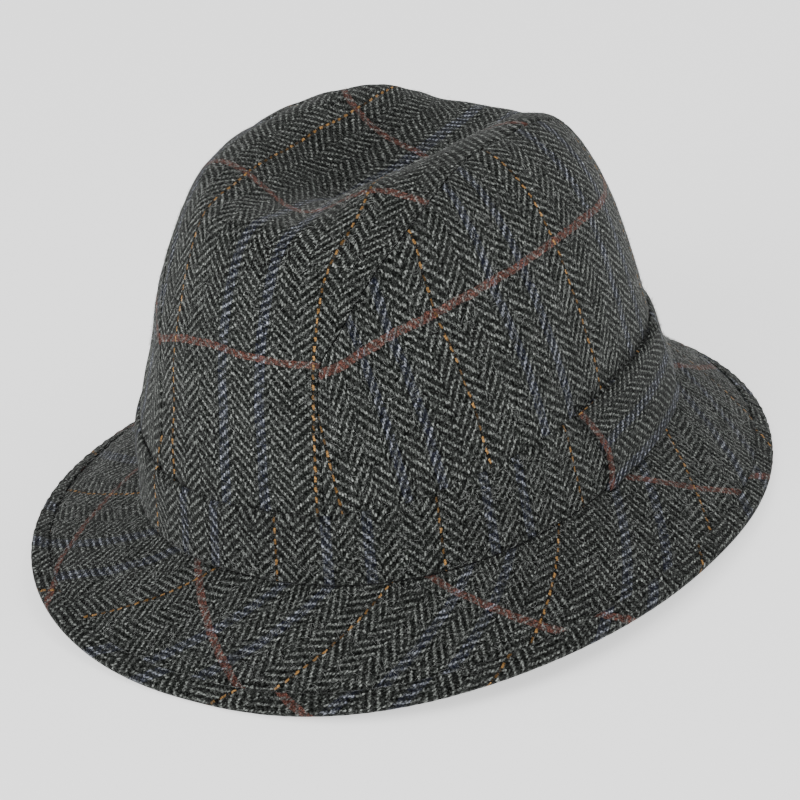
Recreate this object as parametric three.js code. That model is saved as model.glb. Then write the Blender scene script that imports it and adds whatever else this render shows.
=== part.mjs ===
// A tweed trilby: three-piece creased crown, hatband with a notched tab, sloping bound brim.
// Millimetres. The hat's front looks towards -Y, the wearer's left is +X, up is +Z.
import * as THREE from 'three';

// Crown, measured outside the cloth; the foot is the line where wall and brim meet
const footHalfWidth = 86;
const footHalfLength = 105;
const footSquareness = 2.2;
const crownHeight = 124;
const crownFall = 0.166;
const crownHollow = 0.111;
const wallLean = 0.196;
const wallCurve = 0.486;
const topCurve = 0.353;

// Lengthwise crease in the top, as shares of the crown's size
const creaseDepth = 0.212 * crownHeight;
const creaseHalfWidth = 0.444 * footHalfWidth;
const creaseFront = -0.86 * footHalfLength;
const creaseBack = 1.27 * footHalfLength;
const creaseSkew = 0.805;
const creaseRim = { begins: 0.75, full: 1 };

// The fingers' pinch that narrows the front of the crown
const pinchShare = 0.142;
const pinchPlace = -0.523 * footHalfLength;
const pinchLength = 0.551 * footHalfLength;
const pinchRise = { begins: 0.3, full: 0.9 };

// Thickness of the cloth in each piece, and the gap between pieces that are sewn together
const crownCloth = 2;
const brimCloth = 2.5;
const pressedEdge = 1.5;
const bandCloth = 1.7;
const tabCloth = 1.6;
const bindingCloth = 1.2;
const gap = 0.3;
const hem = brimCloth;

// Brim: its width down the slope and its slope below level, in degrees, change round the hat
const brimWidth = { mean: 46.1, side: -2.1 };
const brimSlope = { mean: 35.7, back: 9, side: -2.6, corner: 4.7 };
const brimShelf = 3;
const bindingWidth = 8;
const bindingNose = 1.6;
const pressedRun = 3;

// Hatband and the tab over it; the band is a little taller at the sides
const bandHeight = { mean: 28.5, side: 3.5 };
const bandFlare = 1.2;
const tabRise = 0.8;
const tabEndTurn = 30;

// The hat rests on the front and back of its brim, tipped forward, its cloth flattened there
const tip = THREE.MathUtils.degToRad(1.14);
const restDrop = 29.8;
const flattened = 0.6;

// Seams of the centre strip: where each row lies from front (-1) to back (1), and how far
// the left and the right seam stand out from the middle, all as shares of the crown's spread
const seamRows = [
  { along: -1.0, left: 0.33, right: 0.45 },
  { along: -0.8, left: 0.265, right: 0.385 },
  { along: -0.63, left: 0.23, right: 0.355 },
  { along: -0.54, left: 0.273, right: 0.35 },
  { along: -0.41, left: 0.313, right: 0.34 },
  { along: -0.28, left: 0.331, right: 0.335 },
  { along: -0.17, left: 0.32, right: 0.32 },
  { along: 0.0, left: 0.27, right: 0.27 },
  { along: 0.26, left: 0.226, right: 0.226 },
  { along: 0.5, left: 0.2, right: 0.2 },
  { along: 0.75, left: 0.25, right: 0.25 },
  { along: 1.0, left: 0.33, right: 0.33 },
];

// The tab's notched end: height as a share of the tab, and the turn in degrees where it ends
const tabEndRows = [
  { up: 0.0, turn: -4.4 },
  { up: 0.3, turn: -2.9 },
  { up: 0.45, turn: -2.9 },
  { up: 0.8, turn: -5.3 },
  { up: 1.0, turn: -7.5 },
];

// Fineness of the faceted solids
const seamSteps = 38;
const stripSteps = { along: seamSteps, across: 14 };
const panelSteps = { along: seamSteps, up: 13 };
const ringSteps = 72;
const brimSteps = 4;
const bandSteps = 3;
const tabSteps = { along: 12, up: 8 };
const profileSteps = 400;
const halvings = 24;
const normalReach = 0.002;
const weldSize = 0.0005;

const quarter = Math.PI / 2;

function smoothStep(value, range) {
  const share = THREE.MathUtils.clamp((value - range.begins) / (range.full - range.begins), 0, 1);
  return share * share * (3 - 2 * share);
}

function signedPower(value, power) {
  return Math.sign(value) * Math.abs(value) ** power;
}

// Smooth curve through the rows of a table
function alongTable(rows, key, column, value) {
  const last = rows.length - 1;
  const at = THREE.MathUtils.clamp(value, rows[0][key], rows[last][key]);
  let row = 0;
  while (row < last - 1 && rows[row + 1][key] < at) row += 1;
  const slope = (index) => {
    const before = rows[Math.max(index - 1, 0)];
    const after = rows[Math.min(index + 1, last)];
    return (after[column] - before[column]) / (after[key] - before[key]);
  };
  const [start, end] = [rows[row], rows[row + 1]];
  const span = end[key] - start[key];
  const t = (at - start[key]) / span;
  return start[column] * (2 * t ** 3 - 3 * t ** 2 + 1)
    + slope(row) * span * (t ** 3 - 2 * t ** 2 + t)
    + end[column] * (3 * t ** 2 - 2 * t ** 3)
    + slope(row + 1) * span * (t ** 3 - t ** 2);
}

// Oval through the head opening, let out by a number of millimetres
function oval(turn, letOut) {
  const power = 2 / footSquareness;
  return [
    (footHalfWidth + letOut) * signedPower(Math.cos(turn), power),
    (footHalfLength + letOut) * signedPower(Math.sin(turn), power),
  ];
}

// The wall and top seen from the side, as a rounded corner walked in even steps
function wallSection(lift) {
  const rise = Math.sin(lift) ** topCurve;
  const reach = Math.cos(lift) ** wallCurve * (1 - wallLean * rise);
  return { rise, reach };
}

const walked = [0];
for (let step = 1; step <= profileSteps; step += 1) {
  const before = wallSection(quarter * (step - 1) / profileSteps);
  const after = wallSection(quarter * step / profileSteps);
  const inward = (before.reach - after.reach) * (footHalfWidth + footHalfLength) / 2;
  const upward = (after.rise - before.rise) * crownHeight;
  walked.push(walked[step - 1] + Math.hypot(inward, upward));
}
const wallRun = walked[profileSteps];

function liftAt(spread) {
  const target = (1 - spread) * wallRun;
  let low = 0;
  let high = profileSteps;
  while (high - low > 1) {
    const halfway = (low + high) >> 1;
    if (walked[halfway] > target) high = halfway;
    else low = halfway;
  }
  const share = (target - walked[low]) / (walked[high] - walked[low]);
  return quarter * (low + share) / profileSteps;
}

function creaseAt(x, y) {
  const along = THREE.MathUtils.clamp((y - creaseFront) / (creaseBack - creaseFront), 0, 1);
  const across = Math.min(Math.abs(x) / creaseHalfWidth, 1);
  return creaseDepth * Math.sin(Math.PI * along ** creaseSkew) * (1 + Math.cos(Math.PI * across)) / 2;
}

// Point of the crown's outside: spread is 0 in the middle of the top and 1 at the foot,
// and the hem beyond it hangs straight down
function crownPoint(spread, turn) {
  const { rise, reach } = wallSection(liftAt(Math.min(spread, 1)));
  const [ovalX, ovalY] = oval(turn, 0);
  const y = ovalY * reach;
  const fromPinch = (y - pinchPlace) / pinchLength;
  const pinched = pinchShare * smoothStep(rise, pinchRise) * Math.exp(-(fromPinch ** 2));
  const x = ovalX * reach * (1 - pinched);
  const back = y / footHalfLength;
  const height = crownHeight * rise * (1 - crownFall * back + crownHollow * back * back);
  const hemDrop = Math.max(spread - 1, 0) * wallRun;
  return new THREE.Vector3(x, y, height - creaseAt(x, y) * smoothStep(rise, creaseRim) - hemDrop);
}

// The crown laid out as a flat disc: its middle is the top's middle and its rim the foot
function onDisc(x, y) {
  return crownPoint(Math.hypot(x, y), Math.atan2(y, x));
}

function discNormal(x, y) {
  const alongX = onDisc(x + normalReach, y).sub(onDisc(x - normalReach, y));
  const alongY = onDisc(x, y + normalReach).sub(onDisc(x, y - normalReach));
  return alongX.cross(alongY).normalize();
}

// Outside and inside of the crown cloth at a place on the disc
function crownCloths([x, y]) {
  const outside = onDisc(x, y);
  const inside = outside.clone().addScaledVector(discNormal(x, y), -crownCloth);
  return [outside, inside];
}

// Disc place at a share across and a share along; past the foot it runs straight out
function discPlace(across, along) {
  const rim = Math.sqrt(1 - across * across);
  if (Math.abs(along) <= 1) return [across, along * rim];
  return [across * Math.abs(along), along * rim];
}

const hemShare = hem / wallRun;
const seamGap = gap / 2 / ((footHalfWidth + footHalfLength) / 2);

function seamAt(side, along) {
  return alongTable(seamRows, 'along', side, along);
}

// Closed mesh from rows of points; corners that fall together are joined
function solid(name, triangles, colour, roughness) {
  const places = new Map();
  const positions = [];
  const indices = [];
  const indexOf = (point) => {
    const place = settle(point);
    const key = place.map((value) => Math.round(value / weldSize)).join(' ');
    if (!places.has(key)) {
      places.set(key, positions.length / 3);
      positions.push(...place);
    }
    return places.get(key);
  };
  for (const triangle of triangles) {
    const [a, b, c] = triangle.map(indexOf);
    if (a !== b && b !== c && c !== a) indices.push(a, b, c);
  }
  const geometry = new THREE.BufferGeometry();
  geometry.setAttribute('position', new THREE.Float32BufferAttribute(positions, 3));
  geometry.setIndex(indices);
  geometry.computeVertexNormals();
  const material = new THREE.MeshStandardMaterial({ color: colour, roughness, metalness: 0 });
  const mesh = new THREE.Mesh(geometry, material);
  mesh.name = name;
  return mesh;
}

function quad(a, b, c, d) {
  return [[a, b, c], [a, c, d]];
}

// Sheet of cloth between an outer and an inner grid of the same size; the outer grid
// is seen from outside with its rows running left and its columns running up
function sheetTriangles(outer, inner) {
  const rows = outer.length - 1;
  const columns = outer[0].length - 1;
  const triangles = [];
  for (let i = 0; i < rows; i += 1) {
    for (let j = 0; j < columns; j += 1) {
      triangles.push(...quad(outer[i][j], outer[i + 1][j], outer[i + 1][j + 1], outer[i][j + 1]));
      triangles.push(...quad(inner[i][j], inner[i][j + 1], inner[i + 1][j + 1], inner[i + 1][j]));
    }
    const end = columns;
    triangles.push(...quad(outer[i][0], inner[i][0], inner[i + 1][0], outer[i + 1][0]));
    triangles.push(...quad(outer[i][end], outer[i + 1][end], inner[i + 1][end], inner[i][end]));
  }
  for (let j = 0; j < columns; j += 1) {
    triangles.push(...quad(outer[0][j], outer[0][j + 1], inner[0][j + 1], inner[0][j]));
    triangles.push(...quad(outer[rows][j], inner[rows][j], inner[rows][j + 1], outer[rows][j + 1]));
  }
  return triangles;
}

// Sheet of cloth from one grid of places that each hold an outside and an inside point
function clothTriangles(grid) {
  const [outer, inner] = [0, 1].map((face) => grid.map((row) => row.map((place) => place[face])));
  return sheetTriangles(outer, inner);
}

// Ring of one closed section carried round the hat; the section runs counterclockwise
// when the outside of the hat is on the right
function ringTriangles(sectionAt) {
  const sections = shares(ringSteps).slice(0, ringSteps).map((share) => sectionAt(2 * Math.PI * share));
  const triangles = [];
  sections.forEach((section, index) => {
    const next = sections[(index + 1) % ringSteps];
    section.forEach((point, corner) => {
      const following = (corner + 1) % section.length;
      triangles.push(...quad(point, next[corner], next[following], section[following]));
    });
  });
  return triangles;
}

function shares(steps) {
  return Array.from({ length: steps + 1 }, (unused, step) => step / steps);
}

function crownCentrePanel() {
  const reach = 1 + hemShare;
  const grid = shares(stripSteps.across).map((across) => shares(stripSteps.along).map((along) => {
    const place = THREE.MathUtils.lerp(-reach, reach, along);
    const right = -seamAt('right', place) + seamGap;
    const left = seamAt('left', place) - seamGap;
    return crownCloths(discPlace(THREE.MathUtils.lerp(right, left, across), place));
  }));
  return clothTriangles(grid);
}

// Side panel between the arched seam and the foot, on the left (1) or the right (-1)
function crownSidePanel(name, side) {
  const reach = 1 + hemShare;
  const seamPlace = (place) => discPlace(side * (seamAt(name, place) + seamGap), place);
  const turnOf = ([x, y]) => Math.atan2(y, side * x);
  const frontTurn = turnOf(seamPlace(-reach));
  const backTurn = turnOf(seamPlace(reach));
  const grid = shares(panelSteps.along).map((along) => shares(panelSteps.up).map((up) => {
    const seam = seamPlace(THREE.MathUtils.lerp(-reach, reach, along));
    const turn = THREE.MathUtils.lerp(frontTurn, backTurn, along);
    const foot = [side * Math.cos(turn) * reach, Math.sin(turn) * reach];
    return crownCloths([0, 1].map((axis) => THREE.MathUtils.lerp(foot[axis], seam[axis], up)));
  }));
  if (side < 0) grid.reverse();
  return clothTriangles(grid);
}

// Brim shape round the hat
function brimLine(turn) {
  const slope = THREE.MathUtils.degToRad(brimSlope.mean + brimSlope.back * Math.sin(turn)
    + brimSlope.side * Math.cos(2 * turn) + brimSlope.corner * Math.sin(3 * turn));
  const width = brimWidth.mean + brimWidth.side * Math.cos(2 * turn);
  const run = width * Math.cos(slope);
  const edgeY = oval(turn, brimShelf + run)[1];
  const drop = Math.min(width * Math.sin(slope), restDrop + edgeY * Math.tan(tip));
  return { run, drop, length: Math.hypot(run, drop) };
}

// Point of the brim at a distance down its slope and a height off its upper face
function brimPoint(turn, line, down, off) {
  const { run, drop, length } = line;
  const outward = brimShelf + (down * run + off * drop) / length;
  const [x, y] = oval(turn, outward);
  return new THREE.Vector3(x, y, (off * run - down * drop) / length);
}

// Levels off the brim's upper face where its edge is pressed thin under the binding
const pressedTop = (pressedEdge - brimCloth) / 2;
const pressedUnder = -brimCloth - pressedTop;

function brimSection(turn) {
  const line = brimLine(turn);
  const end = line.length - bindingCloth - gap;
  const bound = line.length - bindingWidth - gap;
  const flat = (outward, z) => new THREE.Vector3(...oval(turn, outward), z);
  const downs = shares(brimSteps - 1).map((share) => (bound - pressedRun) * share);
  const upper = downs.map((down) => brimPoint(turn, line, down, 0));
  const lower = downs.map((down) => brimPoint(turn, line, down, -brimCloth));
  return [
    flat(gap, 0),
    flat(gap, -brimCloth),
    ...lower,
    brimPoint(turn, line, bound, pressedUnder),
    brimPoint(turn, line, end, pressedUnder),
    brimPoint(turn, line, end, pressedTop),
    brimPoint(turn, line, bound, pressedTop),
    ...upper.reverse(),
  ];
}

function bindingSection(turn) {
  const line = brimLine(turn);
  const [start, fold, end] = [line.length - bindingWidth, line.length - bindingCloth, line.length];
  const [over, under] = [pressedTop + gap, pressedUnder - gap];
  const [top, bottom] = [over + bindingCloth, under - bindingCloth];
  const outline = [
    [start, top], [start, over], [fold, over], [fold, under], [start, under], [start, bottom],
    [end - bindingNose, bottom], [end - bindingNose / 3, bottom + bindingNose / 2],
    [end, (top + bottom) / 2], [end - bindingNose / 3, top - bindingNose / 2], [end - bindingNose, top],
  ];
  return outline.map(([down, off]) => brimPoint(turn, line, down, off));
}

// Put the hat down: tipped forward, its lowest cloth a little into the floor and flattened
// there, with the origin under the middle of its outline
function tipped(point) {
  return {
    y: point.y * Math.cos(tip) - point.z * Math.sin(tip),
    z: point.y * Math.sin(tip) + point.z * Math.cos(tip),
  };
}

const outline = shares(ringSteps).flatMap((share) => bindingSection(2 * Math.PI * share).map(tipped));
const restHeight = -Math.min(...outline.map(({ z }) => z)) - flattened;
const middle = (Math.min(...outline.map(({ y }) => y)) + Math.max(...outline.map(({ y }) => y))) / 2;

function settle(point) {
  const { y, z } = tipped(point);
  return [point.x, y - middle, Math.max(z + restHeight, 0)];
}

// Spread of the crown wall at a height above the foot
function spreadAtHeight(turn, height) {
  let low = 0.5;
  let high = 1;
  for (let pass = 0; pass < halvings; pass += 1) {
    const halfway = (low + high) / 2;
    if (crownPoint(halfway, turn).z > height) low = halfway;
    else high = halfway;
  }
  return high;
}

// Point outside the wall at a share of the band's height, let out past the cloth below it
function bandPoint(turn, up, off, extraHeight) {
  const top = bandHeight.mean + bandHeight.side * Math.cos(2 * turn) + extraHeight;
  const height = THREE.MathUtils.lerp(gap, top, up);
  const wall = crownPoint(spreadAtHeight(turn, height), turn);
  const [footX, footY] = oval(turn, 0);
  const [outX, outY] = oval(turn, off + bandFlare * (1 - up) ** 2);
  return new THREE.Vector3(wall.x + outX - footX, wall.y + outY - footY, height);
}

function bandSection(turn) {
  const ups = shares(bandSteps);
  const outer = ups.map((up) => bandPoint(turn, up, gap + bandCloth, 0));
  const inner = ups.map((up) => bandPoint(turn, up, gap, 0));
  return [...inner.reverse(), ...outer];
}

function tabTriangles() {
  const surface = (off) => shares(tabSteps.along).map((along) => shares(tabSteps.up).map((up) => {
    const start = alongTable(tabEndRows, 'up', 'turn', up);
    const turn = THREE.MathUtils.degToRad(THREE.MathUtils.lerp(start, tabEndTurn, along));
    return bandPoint(turn, up, off, tabRise);
  }));
  const inside = gap + bandCloth + gap;
  return sheetTriangles(surface(inside + tabCloth), surface(inside));
}

const tweed = 0x474a46;
const tweedDark = 0x3f423f;
const woolRoughness = 0.95;
const hat = new THREE.Group();
hat.name = 'trilby';
hat.add(
  solid('crown_centre_panel', crownCentrePanel(), tweed, woolRoughness),
  solid('crown_left_panel', crownSidePanel('left', 1), tweed, woolRoughness),
  solid('crown_right_panel', crownSidePanel('right', -1), tweed, woolRoughness),
  solid('hatband', ringTriangles(bandSection), tweed, woolRoughness),
  solid('hatband_tab', tabTriangles(), tweed, woolRoughness),
  solid('brim', ringTriangles(brimSection), tweed, woolRoughness),
  solid('brim_binding', ringTriangles(bindingSection), tweedDark, woolRoughness),
);

export default hat;
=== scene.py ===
"""A tweed trilby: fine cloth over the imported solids, woven tweed, stray fibres, camera and light."""
import math
import bmesh
import bpy
import numpy as np
from mathutils import Matrix


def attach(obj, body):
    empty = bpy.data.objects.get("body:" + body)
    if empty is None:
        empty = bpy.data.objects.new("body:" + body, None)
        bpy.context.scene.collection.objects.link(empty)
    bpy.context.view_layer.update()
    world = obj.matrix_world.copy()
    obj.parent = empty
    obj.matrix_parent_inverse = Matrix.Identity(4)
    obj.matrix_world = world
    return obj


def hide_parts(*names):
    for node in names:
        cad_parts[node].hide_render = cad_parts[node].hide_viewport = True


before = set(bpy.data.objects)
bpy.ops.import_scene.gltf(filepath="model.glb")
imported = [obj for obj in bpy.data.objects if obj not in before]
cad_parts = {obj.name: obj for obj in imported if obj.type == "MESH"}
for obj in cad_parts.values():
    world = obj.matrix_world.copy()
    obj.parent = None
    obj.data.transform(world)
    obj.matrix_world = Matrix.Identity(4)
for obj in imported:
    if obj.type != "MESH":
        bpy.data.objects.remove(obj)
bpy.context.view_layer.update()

# Crown, in millimetres from the middle of the head opening, before the hat is put down
FOOT_HALF_WIDTH = 86.0
FOOT_HALF_LENGTH = 105.0
FOOT_MEAN = (FOOT_HALF_WIDTH + FOOT_HALF_LENGTH) / 2
FOOT_SQUARENESS = 2.2
CROWN_HEIGHT = 124.0
CROWN_FALL = 0.166
CROWN_HOLLOW = 0.111
WALL_LEAN = 0.196
WALL_CURVE = 0.486
TOP_CURVE = 0.353
CREASE = dict(depth=0.212 * CROWN_HEIGHT, half_width=0.444 * FOOT_HALF_WIDTH,
              front=-0.86 * FOOT_HALF_LENGTH, back=1.27 * FOOT_HALF_LENGTH, skew=0.805)
CREASE_RIM = (0.75, 1.0)
PINCH = dict(share=0.142, place=-0.523 * FOOT_HALF_LENGTH, length=0.551 * FOOT_HALF_LENGTH)
PINCH_RISE = (0.3, 0.9)

# Cloth thickness, gaps and hem
CROWN_CLOTH = 2.0
BRIM_CLOTH = 2.5
PRESSED_EDGE = 1.5
BAND_CLOTH = 1.7
TAB_CLOTH = 1.6
BINDING_CLOTH = 1.2
GAP = 0.3
HEM = BRIM_CLOTH

# Brim, binding, hatband and tab
BRIM_WIDTH = dict(mean=46.1, side=-2.1)
BRIM_SLOPE = dict(mean=35.7, back=9.0, side=-2.6, corner=4.7)
BRIM_SHELF = 3.0
BINDING_WIDTH = 8.0
BINDING_NOSE = 1.6
PRESSED_RUN = 3.0
BAND_HEIGHT = dict(mean=28.5, side=3.5)
BAND_FLARE = 1.2
TAB_RISE = 0.8
TAB_END_TURN = 30.0
TAB_END = dict(up=[0.0, 0.3, 0.45, 0.8, 1.0], turn=[-4.4, -2.9, -2.9, -5.3, -7.5])

# How the hat lies: tipped forward on the front and back of its brim
TIP = math.radians(1.14)
REST_DROP = 29.8
FLATTENED = 0.6

# Seams of the centre strip as shares of the crown's spread, from front (-1) to back (1)
SEAM = dict(
    along=[-1.0, -0.8, -0.63, -0.54, -0.41, -0.28, -0.17, 0.0, 0.26, 0.5, 0.75, 1.0],
    left=[0.33, 0.265, 0.23, 0.273, 0.313, 0.331, 0.32, 0.27, 0.226, 0.2, 0.25, 0.33],
    right=[0.45, 0.385, 0.355, 0.35, 0.34, 0.335, 0.32, 0.27, 0.226, 0.2, 0.25, 0.33])
SEAM_ROLL = dict(reach=1.3, depth=0.55)
SEAM_LAP = 1.2
SEAM_ALLOWANCE = dict(reach=8.0, fades=4.0, height=0.35)
SEAM_PUCKER = dict(length=9.0, height=0.12, seed=0.4, full=2.0, ends=9.0)

# Where the cloth leaves the plain form: the crease's front end, the swell of the wall, and soft lumps
CREASE_LIP = dict(x=16.0, y=-65.0, spread=9.5, height=-2.6)
CREASE_FLOOR = dict(x=6.0, y=-44.0, spread=11.0, height=2.2)
SWELL = dict(turn=-149, height=24.0, ends=62.0, out=2.8, narrows=4)
RIPPLE = dict(waves=5, turn=2.4, shortest=0.75, growth=0.13, tilt=3.1, phase=1.7, evens=3.2)
CROWN_LUMPS = (dict(length=34.0, height=0.45, seed=1.3), dict(length=17.0, height=0.2, seed=2.6))
BRIM_LUMPS = (dict(length=31.0, height=0.35, seed=0.7), dict(length=13.0, height=0.2, seed=2.1))

# Weave, in millimetres: eight ends to a herringbone column, four picks to a twill repeat
END = 0.945
PICK = 0.96
COLUMN_ENDS = 8
REPEAT_PICKS = 4
WARP_CHECK = 64 * END
WEFT_CHECK = 77 * PICK
BLUE_PLACES = (0.43, 0.68)

# Camera at the photograph's angle
CAMERA = dict(azimuth=36.03, elevation=29.33, roll=7.07, distance=1800.0, lens=223.3,
              right=-3.61, up=10.87)
MM = 0.001

# Meshes: points this near, in metres, are one point, and edges shorter than the second are dropped
SAME_POINT = 2e-6
NO_LENGTH = 1e-7


def smooth_step(value, begins, full):
    share = np.clip((value - begins) / (full - begins), 0, 1)
    return share * share * (3 - 2 * share)


def signed_power(value, power):
    return np.sign(value) * np.abs(value) ** power


def along_table(table, key, column, value):
    """Smooth curve through a table: a cubic between two rows, its slopes taken from the rows beside them."""
    keys, values = np.array(table[key]), np.array(table[column])
    last = len(keys) - 1
    at = np.clip(value, keys[0], keys[-1])
    row = np.clip(np.searchsorted(keys, at, side="left") - 1, 0, last - 1)
    before, after = np.maximum(np.arange(last + 1) - 1, 0), np.minimum(np.arange(last + 1) + 1, last)
    slope = (values[after] - values[before]) / (keys[after] - keys[before])
    span = keys[row + 1] - keys[row]
    t = (at - keys[row]) / span
    return (values[row] * (2 * t ** 3 - 3 * t ** 2 + 1) + slope[row] * span * (t ** 3 - 2 * t ** 2 + t)
            + values[row + 1] * (3 * t ** 2 - 2 * t ** 3) + slope[row + 1] * span * (t ** 3 - t ** 2))


def oval(turn, let_out):
    """Superellipse round the head opening, let out by some millimetres: powers of cosine and sine."""
    power = 2 / FOOT_SQUARENESS
    return ((FOOT_HALF_WIDTH + let_out) * signed_power(np.cos(turn), power),
            (FOOT_HALF_LENGTH + let_out) * signed_power(np.sin(turn), power))


def wall_section(lift):
    """Side view of wall and top: height a power of the sine, reach a power of the cosine less a lean."""
    rise = np.sin(lift) ** TOP_CURVE
    return rise, np.abs(np.cos(lift)) ** WALL_CURVE * (1 - WALL_LEAN * rise)


LIFTS = np.linspace(0, math.pi / 2, 4001)
RISES, REACHES = wall_section(LIFTS)
WALL_STEPS = np.hypot(np.diff(REACHES) * FOOT_MEAN, np.diff(RISES) * CROWN_HEIGHT)
WALKED = np.concatenate([[0], np.cumsum(WALL_STEPS)])
WALL_RUN = WALKED[-1]
HEM_SPREAD = 1 + HEM / WALL_RUN
SEAM_GAP = GAP / 2 / FOOT_MEAN


def crease_at(x, y):
    along = np.clip((y - CREASE["front"]) / (CREASE["back"] - CREASE["front"]), 0, 1)
    across = np.minimum(np.abs(x) / CREASE["half_width"], 1)
    lengthways = np.sin(math.pi * along ** CREASE["skew"])
    crossways = (1 + np.cos(math.pi * across)) / 2
    return CREASE["depth"] * lengthways * crossways


def crown_point(spread, turn):
    """Outside of the crown: spread 0 in the middle of the top, 1 at the foot, and past it the hem."""
    lift = np.interp((1 - np.minimum(spread, 1)) * WALL_RUN, WALKED, LIFTS)
    rise, reach = wall_section(lift)
    oval_x, oval_y = oval(turn, 0)
    y = oval_y * reach
    beside = np.exp(-((y - PINCH["place"]) / PINCH["length"]) ** 2)
    pinched = PINCH["share"] * smooth_step(rise, *PINCH_RISE) * beside
    x = oval_x * reach * (1 - pinched)
    back = y / FOOT_HALF_LENGTH
    height = CROWN_HEIGHT * rise * (1 - CROWN_FALL * back + CROWN_HOLLOW * back * back)
    drop = np.maximum(spread - 1, 0) * WALL_RUN
    return np.stack([x, y, height - crease_at(x, y) * smooth_step(rise, *CREASE_RIM) - drop], axis=-1)


def on_disc(x, y):
    return crown_point(np.hypot(x, y), np.arctan2(y, x))


def disc_frame(x, y, reach=0.002):
    """Point, outward normal and millimetres per unit across of the crown laid out as a flat disc."""
    across = on_disc(x + reach, y) - on_disc(x - reach, y)
    along = on_disc(x, y + reach) - on_disc(x, y - reach)
    normal = np.cross(across, along)
    normal /= np.linalg.norm(normal, axis=-1, keepdims=True)
    return on_disc(x, y), normal, np.linalg.norm(across, axis=-1) / (2 * reach)


def ripple(x, y, z, length, seed):
    """Soft lumps: a sum of crossed sine waves of about one length, between about -1 and 1."""
    total = 0
    for number in range(RIPPLE["waves"]):
        angle = seed + RIPPLE["turn"] * number
        wave = 2 * math.pi / (length * (RIPPLE["shortest"] + RIPPLE["growth"] * number))
        lean = math.cos(RIPPLE["tilt"] * number + seed)
        along_wave = x * math.cos(angle) + y * math.sin(angle) + z * lean
        total = total + np.sin(wave * along_wave + RIPPLE["phase"] * number + seed)
    return total / RIPPLE["evens"]


def lumps(point, kinds):
    x, y, z = np.moveaxis(point, -1, 0)
    return sum(kind["height"] * ripple(x, y, z, kind["length"], kind["seed"]) for kind in kinds)


def seam_at(side, along):
    return along_table(SEAM, "along", side, along)


def disc_place(across, along):
    rim = np.sqrt(1 - across * across)
    past = np.maximum(np.abs(along), 1)
    return across * past, along * rim


def travelled(points, axis):
    """Distance walked over the surface along one axis of a grid of points."""
    steps = np.linalg.norm(np.diff(points, axis=axis), axis=-1)
    start = np.zeros_like(np.take(steps, [0], axis=axis))
    return np.concatenate([start, np.cumsum(steps, axis=axis)], axis=axis)


def side_swell(x, y, z):
    """How far the slack lower wall and its band stand out on the wearer's right, towards the front."""
    turn = np.arctan2(y / FOOT_HALF_LENGTH, x / FOOT_HALF_WIDTH)
    round_the_side = 0.5 + 0.5 * np.cos(turn - math.radians(SWELL["turn"]))
    up = smooth_step(z, 0, SWELL["height"]) * (1 - smooth_step(z, SWELL["height"], SWELL["ends"]))
    return SWELL["out"] * round_the_side ** SWELL["narrows"] * up


def crease_front(x, y):
    """The crease's front end on the wearer's left: its lip pressed down, its floor filled a little."""
    def heap(place):
        away = (x - place["x"]) ** 2 + (y - place["y"]) ** 2
        return place["height"] * np.exp(-away / (2 * place["spread"] ** 2))
    return heap(CREASE_FLOOR) + heap(CREASE_LIP)


def crown_relief(point, seam_distance):
    """Height of the cloth over the plain crown: turned-in and doubled cloth at the seams, and lumps."""
    x, y, z = np.moveaxis(point, -1, 0)
    roll = np.clip(1 - seam_distance / SEAM_ROLL["reach"], 0, 1) ** 2
    single = SEAM_ALLOWANCE["reach"] + SEAM_ALLOWANCE["fades"]
    doubled = 1 - smooth_step(seam_distance, SEAM_ALLOWANCE["reach"], single)
    near_seam = 1 - smooth_step(seam_distance, SEAM_PUCKER["full"], SEAM_PUCKER["ends"])
    pucker = lumps(point, [SEAM_PUCKER]) * near_seam
    form = side_swell(x, y, z) + crease_front(x, y) + lumps(point, CROWN_LUMPS)
    return form + pucker + SEAM_ALLOWANCE["height"] * doubled - SEAM_ROLL["depth"] * roll


def dense_ends(steps):
    """Shares from 0 to 1, close together at both ends."""
    return 0.5 - 0.5 * np.cos(np.linspace(0, math.pi, steps + 1))


def tipped(point):
    """The hat's own frame turned forward about the X axis."""
    x, y, z = np.moveaxis(np.asarray(point, float), -1, 0)
    cosine, sine = math.cos(TIP), math.sin(TIP)
    return np.stack([x, y * cosine - z * sine, y * sine + z * cosine], axis=-1)


# Brim and binding, following the slope that changes round the hat
def brim_line(turn):
    slope = np.radians(BRIM_SLOPE["mean"] + BRIM_SLOPE["back"] * np.sin(turn)
                       + BRIM_SLOPE["side"] * np.cos(2 * turn) + BRIM_SLOPE["corner"] * np.sin(3 * turn))
    width = BRIM_WIDTH["mean"] + BRIM_WIDTH["side"] * np.cos(2 * turn)
    run = width * np.cos(slope)
    edge_y = oval(turn, BRIM_SHELF + run)[1]
    drop = np.minimum(width * np.sin(slope), REST_DROP + edge_y * math.tan(TIP))
    return run, drop, np.hypot(run, drop)


def brim_point(turn, down, off):
    """Point a distance down the brim's slope and a height off its upper face."""
    run, drop, length = brim_line(turn)
    x, y = oval(turn, BRIM_SHELF + (down * run + off * drop) / length)
    return np.stack([x, y, (off * run - down * drop) / length], axis=-1)


PRESSED_TOP = (PRESSED_EDGE - BRIM_CLOTH) / 2
PRESSED_UNDER = -BRIM_CLOTH - PRESSED_TOP


def lay_down():
    """Height and middle that put the plain binding on the floor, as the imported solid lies."""
    turn = np.linspace(0, 2 * math.pi, 73)
    lowest, ends = [], []
    for down, off in binding_outline(brim_line(turn)[2]):
        place = tipped(brim_point(turn, down, off))
        lowest.append(place[:, 2].min())
        ends += [place[:, 1].min(), place[:, 1].max()]
    return -min(lowest) - FLATTENED, (min(ends) + max(ends)) / 2


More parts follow.
